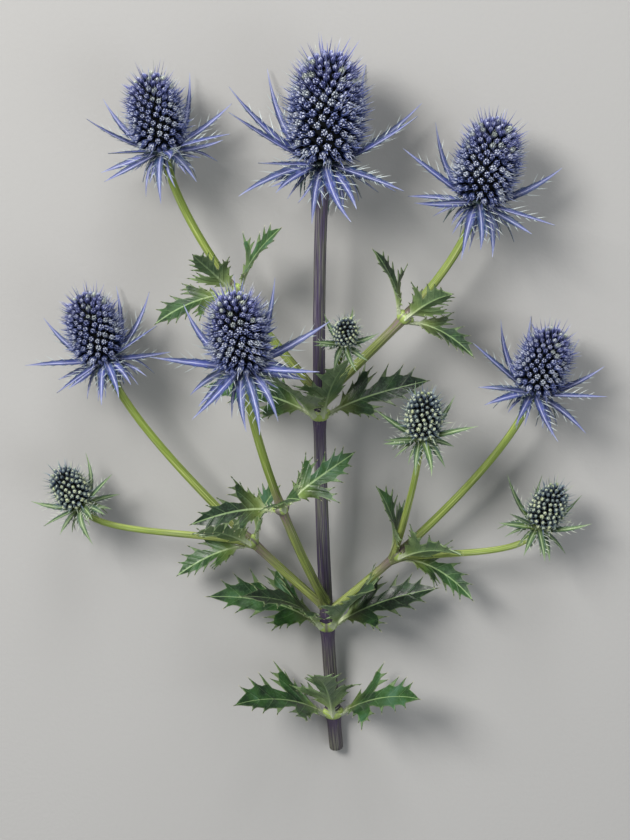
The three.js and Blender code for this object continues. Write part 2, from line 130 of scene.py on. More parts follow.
# A bract's half-width along it, as shares, and its spines: where each leaves the margin and where
# its point is, as shares of the bract's length, and how far out, in half-widths.
BRACT_WIDTH = {
    "inner": ((0, 0.12, 0.28, 0.5, 0.68, 0.86, 1), (0.78, 0.92, 1, 0.84, 0.58, 0.25, 0.04)),
    "outer": ((0, 0.15, 0.35, 0.56, 0.76, 0.9, 1), (0.66, 0.88, 1, 0.8, 0.48, 0.2, 0.04)),
    "lowest": ((0, 0.2, 0.5, 0.8, 1), (0.6, 0.8, 0.7, 0.34, 0.05)),
}
BRACT_SPINES = {
    "inner": ((0.1, 0.2, 1.9), (0.2, 0.33, 2.5), (0.33, 0.48, 2.8), (0.47, 0.62, 2.6), (0.61, 0.74, 2),
              (0.74, 0.84, 1.3)),
    "outer": ((0.16, 0.3, 2.1), (0.32, 0.5, 2.6), (0.5, 0.66, 2.1), (0.66, 0.78, 1.3)),
    "lowest": ((0.2, 0.42, 2.4), (0.42, 0.64, 2.3), (0.64, 0.8, 1.4)),
}
BRACT_STEPS = {"inner": 22, "outer": 22, "lowest": 14}
LOWEST_SHARE = 0.8  # bracts of the lowest rank for each of the solid's
# From a spine's foot to its point: shares of its way along and out, and its half-widths.
SPINE_ALONG = np.array([0, 0.32, 0.66, 1])
SPINE_OUT = np.array([0, 0.36, 0.7, 1])
SPINE_WIDTHS = np.array([0.19, 0.12, 0.065, 0])
# A bract's section, anticlockwise seen from its tip: half-widths across, millimetres above.
BRACT_SECTION = (
    (1, 0.02), (0.8, 0.05), (0.4, 0), (0.14, 0.02), (0, 0.16), (-0.14, 0.02), (-0.4, 0), (-0.8, 0.05),
    (-1, 0.02), (-0.72, -0.13), (-0.3, -0.24), (-0.1, -0.42), (0.1, -0.42), (0.3, -0.24), (0.72, -0.13),
)
RECEPTACLE_SIDES, RECEPTACLE_RIBS = 48, 12

# Half of a leaf's outline from its foot to its tip: distance from the midrib and along it, as
# shares of its length. A third number marks a spine.
LEAF_OUTLINE = (
    (0.034, 0), (0.033, 0.05), (0.03, 0.1), (0.036, 0.15), (0.078, 0.185), (0.15, 0.232, 1),
    (0.113, 0.246), (0.132, 0.285), (0.21, 0.352, 1), (0.176, 0.36), (0.2, 0.395), (0.272, 0.438, 1),
    (0.246, 0.438), (0.276, 0.464), (0.345, 0.52, 1), (0.266, 0.488), (0.25, 0.506), (0.255, 0.552, 1),
    (0.212, 0.5), (0.185, 0.5), (0.188, 0.572, 1), (0.135, 0.488), (0.078, 0.44), (0.078, 0.482),
    (0.098, 0.54), (0.107, 0.58), (0.198, 0.69, 1), (0.12, 0.656), (0.11, 0.69), (0.118, 0.732),
    (0.162, 0.805, 1), (0.104, 0.775), (0.09, 0.803), (0.09, 0.835), (0.116, 0.892, 1), (0.066, 0.87),
    (0.05, 0.905), (0.028, 0.95),
)
# The longer spines at a leaf's foot: distance from the midrib and along it, as shares.
FOOT_SPINES = ((0.033, 0.05), (0.03, 0.1))
LEAF_MESH = 0.03  # spacing of the leaf's inner points, as a share of its length
RIB_POINTS, VEIN_STEPS = 36, 9
LEAF_HALF_THICKNESS = 0.18
LEAF_SPINE = 0.036  # share of the leaf's length
COLLAR_SIDES = 48
COLLAR_VEIN = 20  # vein holds this and more on a collar


# ---- small helpers
UP = np.array([0, 0, 1])


def draw(seed):
    """A repeatable number between 0 and 1 for each seed."""
    x = np.sin(np.asarray(seed, float) * 12.9898) * 43758.5453
    return x - np.floor(x)


def chances(seed):
    """A function that gives the repeatable number for each count past this seed."""
    return lambda count: float(draw(seed + count))


def lerp(a, b, share):
    return a + (b - a) * share


def unit(vectors):
    vectors = np.asarray(vectors, float)
    return vectors / np.linalg.norm(vectors, axis=-1, keepdims=True)


def direction(lean, rise):
    lean, rise = math.radians(lean), math.radians(rise)
    flat = math.cos(rise)
    return np.array([math.sin(lean) * flat, math.cos(lean) * flat, math.sin(rise)])


def frames(axes):
    """For each axis the rows up, right and along it, as the solids have them."""
    axes = unit(axes)
    up = unit(UP - axes * axes[..., 2:])
    return np.stack([up, np.cross(axes, up), axes], axis=-2)


def bezier(controls, shares):
    """Points and directions of a Bezier curve at these shares of it."""
    shares = np.asarray(shares, float)[..., None]
    level = [np.asarray(c, float) for c in controls]
    while len(level) > 2:
        level = [lerp(p, q, shares) for p, q in zip(level, level[1:])]
    return lerp(level[0], level[1], shares), unit(level[1] - level[0])


def bell(distance, width):
    return np.exp(-((distance / width) ** 2))


def circle(sides, start=0):
    """Even angles all the way round, from a share of one step on."""
    return 2 * np.pi * (np.arange(sides) + start) / sides


def columns(*parts):
    """The parts, spread to one shape, as the last axis of an array."""
    return np.stack(np.broadcast_arrays(*parts), axis=-1)


def polar(radius, angle, height):
    """Points at these distances and angles round z."""
    return columns(radius * np.cos(angle), radius * np.sin(angle), height)


def add_object(name, data):
    made = bpy.data.objects.new(name, data)
    bpy.context.scene.collection.objects.link(made)
    return made


# ---- meshes
class Piece:
    """The points, faces and values of one mesh, gathered element by element.

    tone says which part of the element a point is on, pick is the element's own random number,
    vein is a distance to a vein or joint, or a share of the element's length, and grain gives the
    element's own coordinates to streaks and veins.
    """

    def __init__(self):
        self.points, self.faces = [], []
        self.values = {"tone": [], "pick": [], "vein": [], "grain": []}
        self.count = 0

    def add(self, points, faces, tone=0.0, pick=0.5, vein=9.0, grain=(0, 0, 0)):
        points = np.reshape(points, (-1, 3))
        size = len(points)
        self.points.append(points)
        self.faces += [np.asarray(f) + self.count for f in faces if len(f)]
        for name, value in dict(tone=tone, pick=pick, vein=vein).items():
            self.values[name].append(np.broadcast_to(np.ravel(value), (size,)))
        self.values["grain"].append(np.broadcast_to(np.reshape(grain, (-1, 3)), (size, 3)))
        self.count += size

    def joined(self, name):
        return np.concatenate(self.values[name])

    def move(self, point, basis):
        """Takes the points from a local frame to the plant's."""
        self.points = [np.asarray(point) + p @ basis for p in self.points]

    def build(self, name, nodes, material):
        points = np.concatenate(self.points) + np.array(ORIGIN_SHIFT)
        points[:, 2] = np.maximum(points[:, 2], LOWEST)
        mesh = bpy.data.meshes.new(name)
        mesh.vertices.add(len(points))
        mesh.vertices.foreach_set("co", (points * MM).ravel())
        sizes = np.concatenate([np.full(len(f), f.shape[1]) for f in self.faces])
        corners = np.concatenate([f.ravel() for f in self.faces])
        mesh.loops.add(len(corners))
        mesh.loops.foreach_set("vertex_index", corners)
        mesh.polygons.add(len(sizes))
        mesh.polygons.foreach_set("loop_start", np.cumsum(sizes) - sizes)
        for value in self.values:
            kind, field = ("FLOAT_VECTOR", "vector") if value == "grain" else ("FLOAT", "value")
            layer = mesh.attributes.new(value, kind, "POINT")
            layer.data.foreach_set(field, self.joined(value).astype(np.float32).ravel())
        mesh.update(calc_edges=True)
        mesh.validate()
        mesh.shade_smooth()
        mesh.set_sharp_from_angle(angle=math.radians(SHARP_ANGLE))
        mesh.materials.append(material)
        piece = add_object(name, mesh)
        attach(piece, "root")
        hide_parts(*nodes)


def tube_faces(rings, sides, tip=False):
    """Faces round a row of rings that run anticlockwise, seen from the last one. With tip, the
    last ring is a single point."""
    k = np.arange(sides)
    after = (k + 1) % sides
    full = rings - 1 if tip else rings
    start = (np.arange(full - 1) * sides)[:, None]
    quads = np.stack([start + k, start + after, start + sides + after, start + sides + k], axis=-1)
    fan = np.arange(1, sides - 1)
    zero = np.zeros_like(fan)
    last = (full - 1) * sides
    if tip:
        end = np.stack([last + k, last + after, np.full(sides, full * sides)], axis=-1)
    else:
        end = np.stack([zero, fan, fan + 1], axis=-1) + last
    return [quads.reshape(-1, 4), end, np.stack([zero, fan + 1, fan], axis=-1)]


def spike(piece, path, widths, tones, up=UP, sides=3, flat=1.0, **values):
    """A tapering spike along a path, which ends in a point. flat squeezes it along up."""
    path = np.asarray(path, float)
    along = unit(np.gradient(path, axis=0))
    across = unit(np.cross(along, up))
    above = np.cross(across, along)
    angles = circle(sides, 0.25)
    ring = np.cos(angles)[:, None] * across[:, None] - flat * np.sin(angles)[:, None] * above[:, None]
    body = path[:, None] + ring * np.asarray(widths, float)[:, None, None]
    points = np.concatenate([body[:-1].reshape(-1, 3), path[-1:]])
    tone = np.append(np.repeat(tones[:-1], sides), tones[-1])
    piece.add(points, tube_faces(len(path), sides, tip=True), tone=tone, **values)


def lathe(piece, radii, heights, sides, tones, wobble=1.0, **values):
    """A closed skin of rings round z, from the lowest ring to the highest."""
    radii, heights = np.array([radii, heights], float)[..., None]
    points = polar(radii * wobble, circle(sides), heights)
    piece.add(points, tube_faces(len(radii), sides), tone=np.repeat(tones, sides), **values)


# ---- stalks
def stalk_curve(name):
    head = HEADS[name]
    axis = direction(head["lean"], head["rise"])
    end = np.array(head["at"]) - axis * (RECEPTACLE[-1][1] + GAP)
    lean, rise, handle = head.get("out", BUTT["out"])
    if "start" in head:
        parent, along = head["start"]
        start = bezier(CURVES[parent], along)[0]
    else:
        start = np.array(BUTT["at"], float)
    return [start, start + direction(lean, rise) * handle, end - axis * head["handle"], end]


CURVES = {}
for stalk_name in HEADS:
    CURVES[stalk_name] = stalk_curve(stalk_name)


def stalk_radius(name, along):
    """As the solids have it: thinner towards the head, and wider again just under it."""
    head = HEADS[name]
    thick = BRANCH_RADIUS * min(1, 0.4 + head["radius"] / 14) if "start" in head else STEM_RADIUS
    return thick * (1 - 0.22 * along + 0.3 * along**24)


def make_stalk(name, node, finish):
    """A ribbed stalk, swollen where leaves and branches leave it and where it starts."""
    piece = Piece()
    course, _ = bezier(CURVES[name], np.linspace(0, 1, 60))
    length = np.linalg.norm(np.diff(course, axis=0), axis=1).sum()
    steps = max(30, round(length / STALK_STEP))
    along = np.linspace(0, 1, steps + 1)
    points, axes = bezier(CURVES[name], along)
    bases = frames(axes)
    angles = circle(STALK_SIDES)
    gaps = [(along - whorl["along"]) * length for whorl in WHORLS.values() if whorl["on"] == name]
    swelling = np.zeros_like(along)
    for gap in gaps:
        swelling += NODE_SWELLING[0] * bell(gap, NODE_SWELLING[1])
    if "start" in HEADS[name]:
        swelling += FOOT_SWELLING[0] * bell(along * length, FOOT_SWELLING[1])
    radius = stalk_radius(name, along) * (1 + swelling)
    winding = angles[None] + 0.5 * along[:, None]
    ribs = 1 + RIB_HEIGHT * np.cos(STALK_RIBS * winding) + OVAL * np.cos(2 * winding + 9 * along[:, None])
    rings = radius[:, None] * ribs
    local = polar(rings, angles, 0)
    world = points[:, None] + local @ bases
    grain = local + UP * (along * length)[:, None, None]
    # vein holds how far the nearest whorl is, for the tint of the joints
    joint = np.min([abs(gap) for gap in gaps] + [np.full_like(along, FAR_FROM_NODE)], axis=0)
    tone, pick = along, np.full_like(along, 0.3)
    if "start" not in HEADS[name]:
        # the sliced end has its share of the outline as tone, and 1 as pick
        shares, heights = np.array(CUT_FACE).T
        slices = local[0] * shares[:, None, None] + UP * heights[:, None, None]
        pairs = ((points[0] + slices @ bases[0], world), (slices, grain), (shares, tone),
                 (np.ones_like(shares), pick), (np.full_like(shares, FAR_FROM_NODE), joint))
        world, grain, tone, pick, joint = map(np.concatenate, pairs)
    tone, pick, joint = (np.repeat(value, STALK_SIDES) for value in (tone, pick, joint))
    faces = tube_faces(len(world), STALK_SIDES)
    piece.add(world, faces, tone=tone, pick=pick, vein=joint, grain=grain)
    piece.build(f"{node}_skin", [node], finish)


# ---- blades
def place(line, s, a, n):
    """Points a share s along a bract's or leaf's line, a to one side and n above its face."""
    s, a, n = np.broadcast_arrays(*(np.asarray(v, float) for v in (s, a, n)))
    (r0, u0), length = line["root"], line["length"]
    rise, lift = math.radians(line["rise"]), math.radians(line["lift"])
    at, along = bezier([
        (r0, u0),
        (r0 + 0.45 * length * math.cos(rise), u0 + 0.45 * length * math.sin(rise)),
        (r0 + length * math.cos(lift), u0 + length * math.sin(lift)),
    ], s)
    angle = np.radians(line["turn"] + line["sway"] * s * s)
    radial = polar(1, angle, 0)
    side = columns(-np.sin(angle), np.cos(angle), 0)
    face = UP * along[..., :1] - radial * along[..., 1:]
    twist = (math.radians(line["roll"]) * (0.3 + 0.7 * s))[..., None]
    across = side * np.cos(twist) + face * np.sin(twist)
    above = face * np.cos(twist) - side * np.sin(twist)
    height = (n + line["fold"] * abs(a))[..., None]
    return radial * at[..., :1] + UP * at[..., 1:] + across * a[..., None] + above * height


def receptacle_radius(head):
    return 0.34 * head["radius"] + 0.9


def under_and_over(turn):
    """How far a bract with this turn lies under its head, and how far over it, from 0 to 1."""
    over = math.cos(math.radians(turn))
    return max(0, -over), max(0, over)


def ruff_line(head, rank, turn, depth, roll, **line):
    """The line of a bract that leaves the receptacle at this depth."""
    root = (BAND[rank][0] * receptacle_radius(head) - 0.3, -depth)
    roll = roll + FACING * math.sin(math.radians(turn))
    return dict(line, rank=rank, turn=turn, fold=0.3, root=root, roll=roll)


def bract_line(head, k, seed):
    """The same line as the solid's bract k. The inner rank sweeps up, the outer one spreads."""
    chance = chances(seed * 31 + k * 7)
    inner = k % 2 == 0
    rank = "inner" if inner else "outer"
    turn = 360 * (k + 0.5 + lerp(-0.15, 0.15, chance(1))) / head["bracts"]
    under, over = under_and_over(turn)
    free = lerp(14, 42, chance(3)) if inner else lerp(-28, 6, chance(3))
    lift = free - DROOP[rank] * over**2
    return ruff_line(
        head, rank, turn, BAND[rank][1] + 0.5,
        half_width=0.032 * head["bract"] + 0.6,
        length=head["bract"] * (lerp(0.86, 1, chance(2)) if inner else lerp(0.5, 0.74, chance(2))),
        rise=min(lift, CLEAR_OF_HEAD) * (1 - under) if inner else lerp(-14, -4, chance(4)),
        lift=lerp(lift, PRESSED if inner else -PRESSED, under),
        sway=lerp(-7, 7, chance(5)),
        roll=lerp(-18, 18, chance(6)),
    )


def lowest_line(head, k, count, seed):
    """A short narrow bract of the lowest rank, which hangs back along the stalk."""
    chance = chances(seed * 47 + k * 11)
    turn = 360 * (k + lerp(-0.25, 0.25, chance(1))) / count
    under, over = under_and_over(turn)
    free = lerp(-52, -20, chance(4)) - DROOP["lowest"] * over**2
    return ruff_line(
        head, "lowest", turn, BAND["lowest"][1],
        half_width=0.018 * head["bract"] + 0.4,
        length=head["bract"] * lerp(0.3, 0.52, chance(2)),
        rise=lerp(-34, -12, chance(3)),
        lift=lerp(free, -72, under),
        sway=lerp(-10, 10, chance(5)),
        roll=lerp(-26, 26, chance(6)),
    )


def add_bract(piece, line, pick):
    """A channelled blade with a raised midrib, thin spines on its margins and a sharp tip."""
    rank, half, length = line["rank"], line["half_width"], line["length"]
    s = np.linspace(0, 1, BRACT_STEPS[rank] + 1)
    width = half * np.interp(s, *BRACT_WIDTH[rank])
    for root, _, reach in BRACT_SPINES[rank]:
        width = width + 0.16 * half * (reach / 2) * bell(s - root - 0.02, 0.035)
    across, above = np.array(BRACT_SECTION).T
    a = width[:, None] * across
    n = above * (1 - 0.55 * s[:, None])
    underside = np.where(above < 0, 1.0, 0.0) * np.ones_like(a)
    grain = columns(a, s[:, None] * length, width[:, None])
    piece.add(place(line, s[:, None], a, n), tube_faces(len(s), len(across)), tone=underside,
              pick=pick, vein=np.repeat(s, len(across)), grain=grain)
    for side in (-1, 1):
        for j, (root, tip, reach) in enumerate(BRACT_SPINES[rank]):
            shift = 0.05 * (float(draw(pick * 97 + j + 3 * side)) - 0.5)
            longer = lerp(0.75, 1.15, float(draw(pick * 53 + j + 5 * side)))
            margin = half * float(np.interp(root, *BRACT_WIDTH[rank]))
            path_s = root + shift + longer * (tip - root) * SPINE_ALONG
            path_a = side * (0.75 * margin + longer * (reach * half - 0.75 * margin) * SPINE_OUT)
            path = place(line, path_s, path_a, -0.04)
            above_here = place(line, root, side * margin, 1) - place(line, root, side * margin, 0)
            spike(piece, path, half * SPINE_WIDTHS, [0.3, 0.5, 0.6, 0.7], up=above_here, flat=0.6,
                  pick=pick, vein=np.append(np.repeat(path_s[:3], 3), 1),
                  grain=(margin, root * length, margin))


def make_ruff(name, head, seed, finish):
    """The receptacle under a head and its bracts, in three ranks."""
    piece = Piece()
    shares, depths = np.array(RECEPTACLE).T
    steps = np.arange(RECEPTACLE_SIDES)
    wobble = 1 + 0.03 * np.cos(steps * 2 * np.pi * RECEPTACLE_RIBS / RECEPTACLE_SIDES)
    radii = np.concatenate([[0.48], shares[::-1], [0.6]]) * receptacle_radius(head)
    heights = np.concatenate([[-depths[-1] - 0.5], -depths[::-1], [-0.1]])
    tones = [1.0] * len(radii)
    lathe(piece, radii, heights, RECEPTACLE_SIDES, tones, wobble, vein=0.25, grain=(0.8, 0, 1))
    for k in range(head["bracts"]):
        add_bract(piece, bract_line(head, k, seed), float(draw(seed * 5 + k)))
    count = round(head["bracts"] * LOWEST_SHARE)
    for k in range(count):
        add_bract(piece, lowest_line(head, k, count, seed), float(draw(seed * 9 + k)))
    piece.move(head["at"], frames(direction(head["lean"], head["rise"])))
    piece.build(f"ruff_{name}_bracts", [f"ruff_{name}"], finish)


# ---- heads
def core_radius(head, v):
    above = v > WIDEST_AT
    t = np.where(above, (v - WIDEST_AT) / (1 - WIDEST_AT), (WIDEST_AT - v) / WIDEST_AT)
    return head["radius"] * np.sqrt(np.maximum(0, 1 - t ** np.where(above, 2.1, 3)))


def core_slope(head, v):
    return (core_radius(head, v + 0.004) - core_radius(head, v - 0.004)) / (0.008 * head["height"])


def core_points(head, v, angle):
    return polar(core_radius(head, v), angle, v * head["height"])


def crownward(share):
    """0 on the body of a head and 1 at its crown."""
    return np.clip((share - CROWN[0]) / (CROWN[1] - CROWN[0]), 0, 1)


def floret_sites(head, count):
    """The florets' places on the core and the direction of each. They start in even spirals, closer
    at the crown, and push each other about until the rows are as close one way as another."""
    v = np.linspace(0, 1, 401)
    r = core_radius(head, v)
    strips = (r[1:] + r[:-1]) / 2 * np.hypot(np.diff(r), head["height"] / 400)
    strips = strips * (1 + CROWN_CROWD * crownward(v[1:]))
    area = np.concatenate([[0], np.cumsum(strips)])
    number = np.arange(count)
    at = np.interp((number + 0.5) / count * area[-1], area, v)
    angle = number * GOLDEN_ANGLE + 0.2 * (draw(number * 1.7) - 0.5)
    for _ in range(PUSHES):
        crowd = 1 + CROWN_CROWD * crownward(at)
        room = CROWDING * np.sqrt(2 * math.pi * area[-1] / count / crowd)[:, None]
        points = core_points(head, at, angle)
        gap = points[:, None] - points
        far = np.linalg.norm(gap, axis=-1) + 1e-6
        push = np.sum(gap * (np.maximum(0, 1 - far / room) / far)[..., None], axis=1)
        slope = core_slope(head, at)
        radial = push[:, 0] * np.cos(angle) + push[:, 1] * np.sin(angle)
        round_it = push[:, 1] * np.cos(angle) - push[:, 0] * np.sin(angle)
        up_it = (radial * slope + push[:, 2]) / (1 + slope**2)
        at = np.clip(at + 0.3 * up_it / head["height"], 0.004, 0.995)
        angle = angle + 0.3 * round_it / np.maximum(core_radius(head, at), 1)
    out = unit(polar(1, angle, 0.3 - core_slope(head, at)))
    return at, core_points(head, at, angle), out


def floret(seed, closed):
    """One floret, which stands along z with its own bract on the side of -x: a cup, five pointed
    sepals, five petals curled in between them, five stamens and the spiny bract. A closed one has
    no stamens yet, and its petals meet in a button."""
    chance = chances(seed * 13)

    def outward(angle):
        return np.array([math.cos(angle), math.sin(angle), 0])

    def reach(out, *points):
        return [out * across + (0, 0, along) for across, along in points]

    pattern = Piece()
    cup_radii, cup_heights = [0.36, 0.6, 0.94, 1.04, 0.66], [-1.8, -0.4, 0.7, 1.5, 1.8]
    lathe(pattern, cup_radii, cup_heights, 7, [0, 0.04, 0.26, 0.44, 0.1])
    for k in range(5):
        angle = 2 * math.pi * (k + 0.3 * chance(k)) / 5
        out = outward(angle)
        tall = lerp(0.86, 1.2, chance(k + 20)) * (0.84 if closed else 1)
        wide = lerp(0.9, 1.2, chance(k + 30))
        sepal = reach(out, (0.76, 0.9), (1.14 * wide, 1.7 * tall), (1.3 * wide, 2.4 * tall),
                      (1.42 * wide, 3.4 * tall))
        spike(pattern, sepal, [0.4, 0.4, 0.22, 0], [0.34, 0.54, 0.74, 0.96], up=out, flat=0.5)
        out = outward(angle + math.pi / 5)
        tall = lerp(0.9, 1.1, chance(k + 40))
        inward = 0.5 if closed else 1
        petal = reach(out, (0.6, 1.5), (0.86, 2.1 * tall), (0.76 * inward, 2.64 * tall),
                      (0.32 * inward, 2.84 * tall))
        spike(pattern, petal, [0.28, 0.42, 0.36, 0], [0.5, 0.82, 1, 0.82], up=out, sides=4, flat=0.8)
    for k in range(0 if closed else 5):
        out = outward(2 * math.pi * (k + 0.8 * chance(k + 60)) / 5)
        tall = lerp(0.8, 1.25, chance(k + 70))
        wide = lerp(0.5, 1.4, chance(k + 50))
        stamen = reach(out, (0.14, 2.0), (0.5 * wide, 3.2 * tall), (0.9 * wide, 4.4 * tall))
        spike(pattern, stamen, [0.12, 0.1, 0], [0.6, 0.86, 1], up=(0.3, 0.4, 0))
    tall = lerp(0.9, 1.16, chance(80)) * (1.25 if closed else 1)
    bract = [(-0.8, 0, -1.2), (-1.34, 0, 1.0), (-1.54, 0.06, 3.2), (-1.3, 0.12, 6.2 * tall)]
    spike(pattern, bract, [0.44, 0.5, 0.36, 0], [0.06, 0.36, 0.62, 1], up=(-1, 0, 0), flat=0.5)
    return pattern


FLORETS = [floret(kind + 1, kind >= OPEN_KINDS) for kind in range(OPEN_KINDS + CLOSED_KINDS)]


def make_head(name, head, finish):
    """An egg-shaped core, painted near black as the shade in the gaps between florets, and covered by
    florets in spirals.
    """
    piece = Piece()
    reach = 0.6 + 0.25 * head["radius"]
    v = (1 - np.cos(np.linspace(0.12, math.pi, CORE_RINGS))) / 2
    v[-1] = 0.9995
    sunk = CORE_SUNK * reach
    radii = np.maximum((1 - sunk / head["radius"]) * core_radius(head, v), 0.05)
    heights = v * (head["height"] - sunk) - 0.1
    # the core has tone 0, which the finish paints near black: painted shade between the florets
    lathe(piece, radii, heights, CORE_SIDES, [0.0] * len(v), pick=0.2)
    share, points, out = floret_sites(head, round(head["florets"] * FLORET_SHARE))
    shown = share > BARE_FOOT
    share, points, out = share[shown], points[shown], out[shown]
    number = np.arange(len(share))
    foot = -UP + 1e-3 * out
    down = unit(foot - out * np.sum(foot * out, axis=-1, keepdims=True))
    side = np.cross(out, -down)
    spin = np.radians(lerp(-50, 50, draw(number * 3 + 1)))[:, None]
    x = -down * np.cos(spin) + side * np.sin(spin)
    y = np.cross(out, x)
    lean = 0.3 * (draw(number + 0.7) - 0.5)[:, None] * x + 0.3 * (draw(number + 0.3) - 0.5)[:, None] * y
    bases = np.stack([x, y, unit(out + lean)], axis=-2)
    crown = crownward(share)
    slim, tall = 1 - CROWN_SLIMMER * crown, 1 + CROWN_TALLER * crown
    size = reach / FLORET_HEIGHT * lerp(0.9, 1.16, draw(number))
    size = size[:, None] * columns(slim, slim, tall)
    closed = share > (0 if name in YOUNG else STILL_CLOSED)
    kinds = np.where(closed, OPEN_KINDS + number % CLOSED_KINDS, number % OPEN_KINDS)
    for kind, pattern in enumerate(FLORETS):
        mine = kinds == kind
        if not mine.any():
            continue
        shape = np.concatenate(pattern.points)
        copies = points[mine][:, None] + (shape * size[mine][:, None]) @ bases[mine]
        shift = np.arange(len(copies))[:, None, None] * len(shape)
        faces = [(f + shift).reshape(-1, f.shape[1]) for f in pattern.faces]
        tone = np.tile(pattern.joined("tone"), len(copies))
        own, height = (np.repeat(v, len(shape)) for v in (draw(number[mine] * 7 + 2), share[mine]))
        piece.add(copies, faces, tone=tone, pick=own, grain=columns(height, 0, 0))
    piece.move(head["at"], frames(direction(head["lean"], head["rise"])))
    piece.build(f"head_{name}_florets", [f"head_{name}"], finish)


# ---- leaves
def outline_distance(corners, point):
    along = np.roll(corners, -1, axis=0) - corners
    t = np.clip(np.sum((point - corners) * along, 1) / np.sum(along * along, 1), 0, 1)
    return np.min(np.linalg.norm(corners + along * t[:, None] - point, axis=1))


def inner_points(corners):
    """A triangular grid inside the outline, kept clear of it."""
    sides = np.roll(corners, -1, axis=0) - corners
    found = []
    for row, s in enumerate(np.arange(0.02, 0.98, LEAF_MESH * 0.87)):
        crossing = (corners[:, 1] > s) != (np.roll(corners[:, 1], -1) > s)
        (x, y), (dx, dy) = corners[crossing].T, sides[crossing].T
        at = x + (s - y) * dx / dy
        for w in np.arange(-0.36, 0.36, LEAF_MESH) + (row % 2) * LEAF_MESH / 2:
            inside = np.sum(at > w) % 2 == 1
            if inside and outline_distance(corners, np.array([w, s])) > 0.4 * LEAF_MESH:
                found.append(Vector((w, s)))
    return found


class LeafPattern:
    """A leaf laid flat: its points as (distance across, distance along), shares of its length."""

    def __init__(self):
        right = [Vector(point[:2]) for point in LEAF_OUTLINE]
        loop = right + [Vector((0, 1))] + [Vector((-p.x, p.y)) for p in reversed(right)]
        tips = [i for i, point in enumerate(LEAF_OUTLINE) if len(point) == 3]
        corners = np.array([tuple(p) for p in loop])
        points = list(loop)
        edges = [(i, (i + 1) % len(loop)) for i in range(len(loop))]

        def add_chain(chain):
            edges.extend((len(points) + i, len(points) + i + 1) for i in range(len(chain) - 1))
            points.extend(chain)

        add_chain([Vector((0, s)) for s in np.linspace(0, 0.985, RIB_POINTS)])
        self.veins = []
        for tip in (right[i] for i in tips):
            root = Vector((0, max(0.06, tip.y - 1.15 * tip.x)))
            for mirror in (1, -1):
                end = Vector((mirror * tip.x, tip.y))
                self.veins.append((np.array(root), np.array(end)))
                add_chain([root.lerp(end, j / VEIN_STEPS) for j in range(1, VEIN_STEPS)])
        points += inner_points(corners)
        flat, _, faces, origins, _, _ = delaunay_2d_cdt(points, edges, [], 1, 1e-5)
        self.flat = np.array([tuple(p) for p in flat])
        self.faces = self.facing_up(np.array(faces))
        self.distance = self.vein_distance()
        self.inset = np.array([outline_distance(corners, p) for p in self.flat])
        new_of = {old: new for new, olds in enumerate(origins) for old in olds}
        self.loop = np.array([new_of[i] for i in range(len(loop))])
        spiny = sorted([*tips, len(right), *(len(loop) - 1 - i for i in tips)])
        self.spines = [(np.array(loop[i]), self.outward(loop, i)) for i in spiny]
        self.spines += [(np.array((side * w, s)), 1.6 * unit((side, 0.6)))
                        for w, s in FOOT_SPINES for side in (-1, 1)]

    @staticmethod
    def outward(loop, i):
        after = loop[(i + 1) % len(loop)]
        return unit(unit(loop[i] - loop[i - 1]) + unit(loop[i] - after))

    def facing_up(self, faces):
        """The faces with their corners in the order that makes them the leaf's upper side."""
        a, b, c = (self.flat[corner] for corner in faces.T)
        ab, ac = b - a, c - a
        wrong = ab[:, 0] * ac[:, 1] - ab[:, 1] * ac[:, 0] >= 0
        faces[wrong] = faces[wrong, ::-1]
        return faces

    def vein_distance(self):
        nearest = np.full(len(self.flat), 9.0)
        for a, b in self.veins:
            t = np.clip((self.flat - a) @ (b - a) / np.dot(b - a, b - a), 0, 1)
            off = np.linalg.norm(self.flat - a - t[:, None] * (b - a), axis=1)
            nearest = np.minimum(nearest, off + 0.004 * t)
        return nearest


LEAF = LeafPattern()


def collar_radius(whorl):
    return stalk_radius(whorl["on"], whorl["along"]) + GAP + COLLAR_WALL


def leaf_line(whorl, turn, k, seed):
    """The same line as the solid's leaf k."""
    chance = chances(seed * 17 + k * 5)
    lift = lerp(58, 14, abs(turn) / 90) + lerp(-6, 6, chance(3))
    return dict(
        root=(collar_radius(whorl) - 0.5, 0), fold=0.25, turn=turn, lift=lift,
        length=whorl["leaf"] * lerp(0.82, 1, chance(1)) + 0.5,
        rise=lift + lerp(14, 26, chance(2)),
        sway=lerp(-10, 10, chance(4)),
        roll=lerp(0.5, 0.75, chance(5)) * turn,
    )


def leaf_waves(flat, phase, length):
    """How far the blade lifts off its even face: the margins wave, and the side lobes curl."""
    w, s = flat[:, 0], flat[:, 1]
    side = np.sign(w)
    out = np.abs(w)
    waves = 0.09 * out * np.sin(2 * np.pi * (2.6 * s + phase) + 1.7 * side)
    curl = lerp(-0.9, 1.4, draw(phase * 31)) * np.maximum(0, out - 0.1) ** 2
    puckers = 0.012 * np.minimum(1, out / 0.05) * np.sin(45 * (s - 0.9 * out) + 4 * side)
    return length * (waves + curl + puckers * 0.4)


def leaf_warp(flat, phase):
    """Makes each leaf's lobes a little longer or shorter than the pattern's."""
    w, s = flat[:, 0], flat[:, 1]
    side = np.sign(w)
    wide = w * (1 + 0.13 * np.sin(5 * s + 9 * phase + 1.3 * side))
    along = s + 0.025 * np.sin(np.pi * s) * np.sin(6 * phase + 2 * side) * np.minimum(1, abs(w) / 0.1)
    return columns(wide, along)


